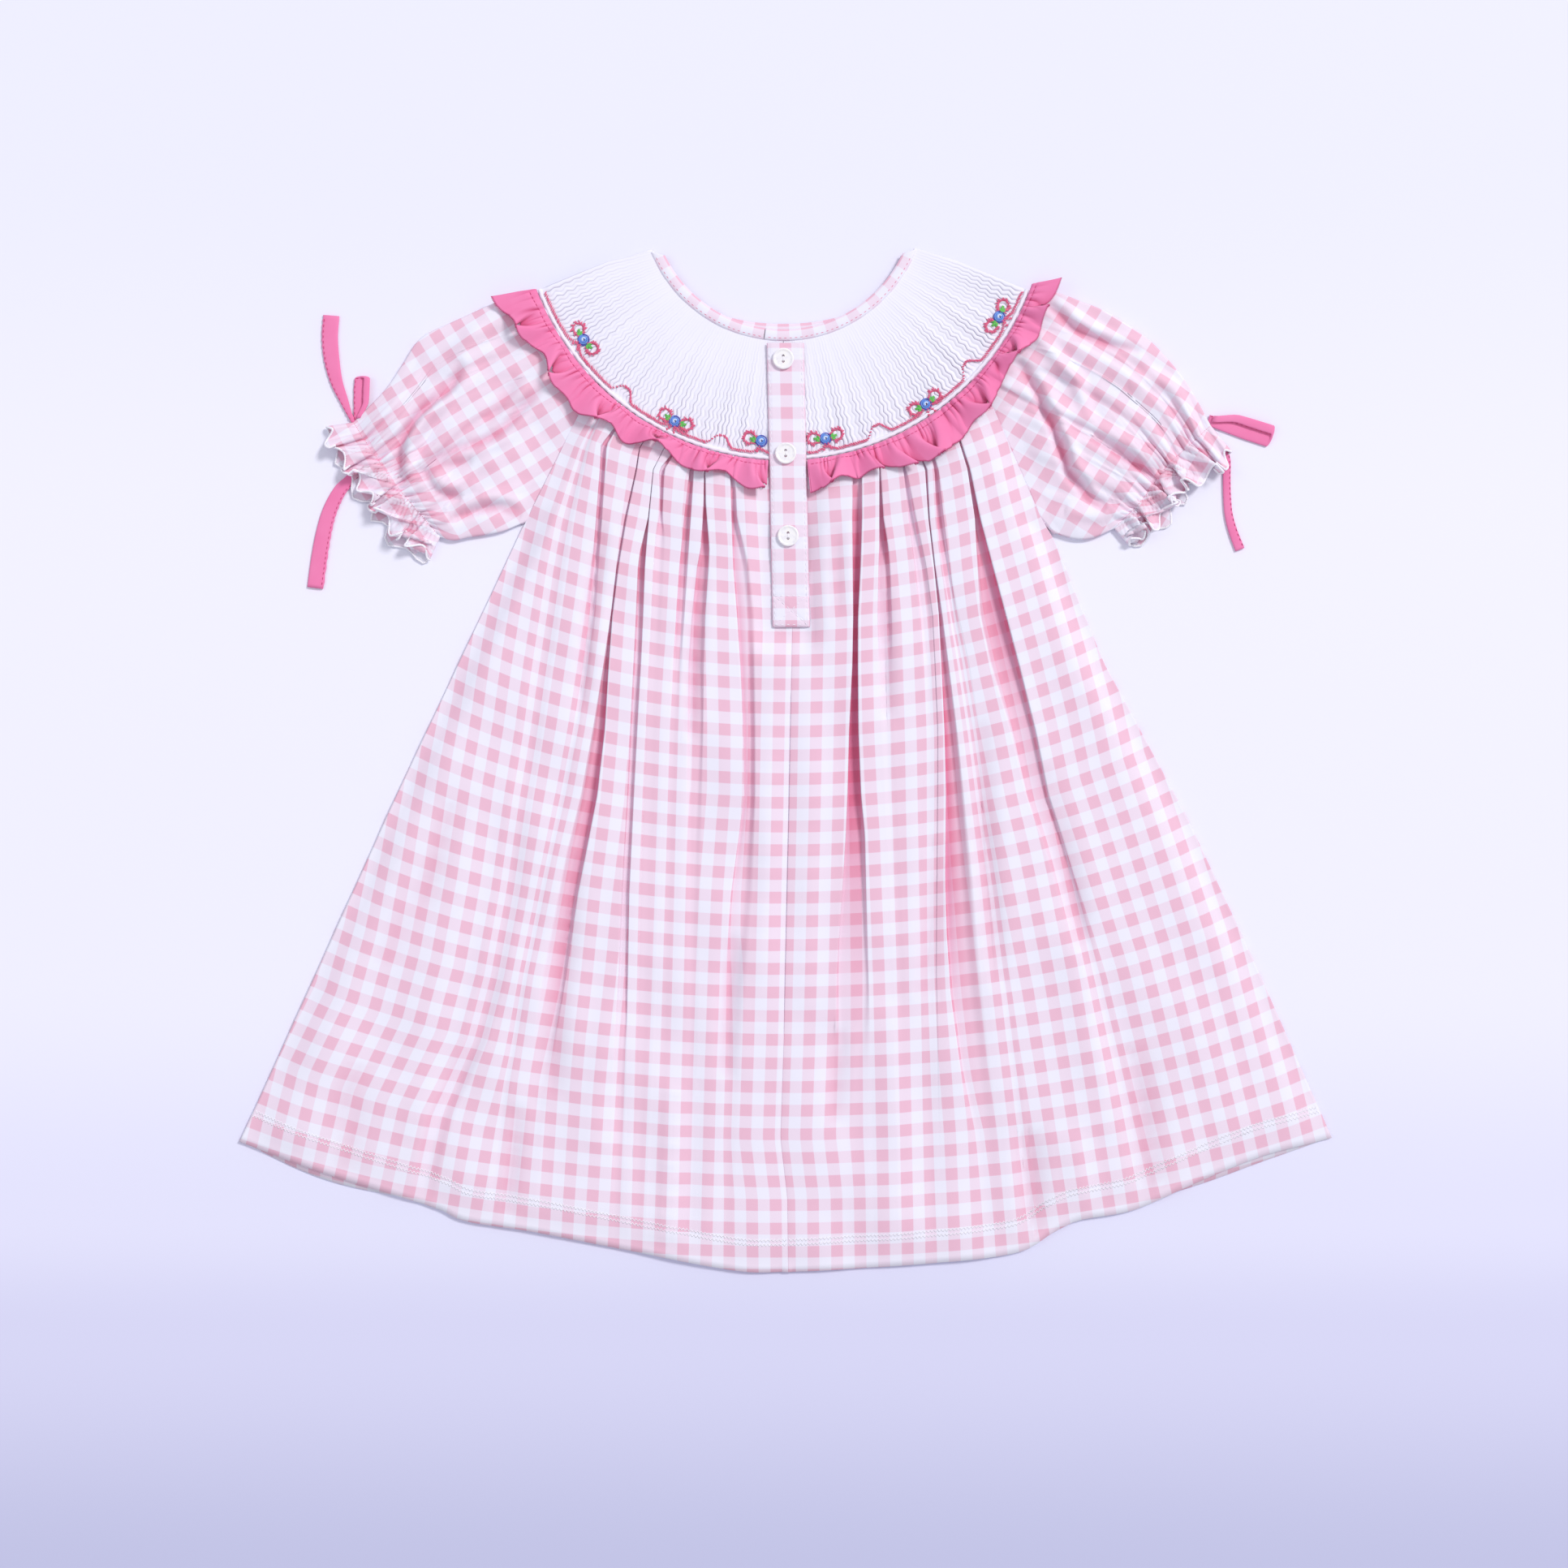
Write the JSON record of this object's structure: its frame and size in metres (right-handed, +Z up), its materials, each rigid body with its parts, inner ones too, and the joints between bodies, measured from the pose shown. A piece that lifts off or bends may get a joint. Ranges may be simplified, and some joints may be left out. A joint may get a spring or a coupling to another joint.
{
  "type": "smocked dress",
  "caption": "Girl's short-sleeved smocked bishop dress laid flat with its buttoned back up: round white yoke, gathered ruffle, gingham skirt and puff sleeves with bow ties.",
  "frame": {"origin": "middle of the underside of the bounding box, on the surface the dress lies on", "axes": "+X to the right across the dress, +Y from the hem towards the neck, +Z up from the surface, through the back of the dress"},
  "size_m": [0.5882, 0.5506, 0.0157],
  "materials": {
    "gingham": "pale pink and white printed check on cotton jersey, matt",
    "smocked_white": "white finely pleated and smocked cotton, matt",
    "pink_jersey": "bright pink jersey, matt with a soft sheen",
    "pearl": "polished white pearl"
  },
  "bodies": {
    "root": {"skirt_back_left": "gingham", "skirt_back_right": "gingham", "skirt_front": "gingham", "sleeve_left": "gingham", "sleeve_right": "gingham", "placket": "gingham", "neck_binding_left": "gingham", "neck_binding_right": "gingham", "neck_binding_front": "gingham", "yoke_back_left": "smocked_white", "yoke_back_right": "smocked_white", "yoke_front": "smocked_white", "piping_back_left": "smocked_white", "piping_back_right": "smocked_white", "piping_front": "smocked_white", "ruffle_back_left": "pink_jersey", "ruffle_back_right": "pink_jersey", "ruffle_front": "pink_jersey", "tie_left_tail_up": "pink_jersey", "tie_left_loop": "pink_jersey", "tie_left_tail_down": "pink_jersey", "tie_right_loop": "pink_jersey", "tie_right_tail_down": "pink_jersey", "button_1": "pearl", "button_2": "pearl", "button_3": "pearl"}
  },
  "joints": []
}
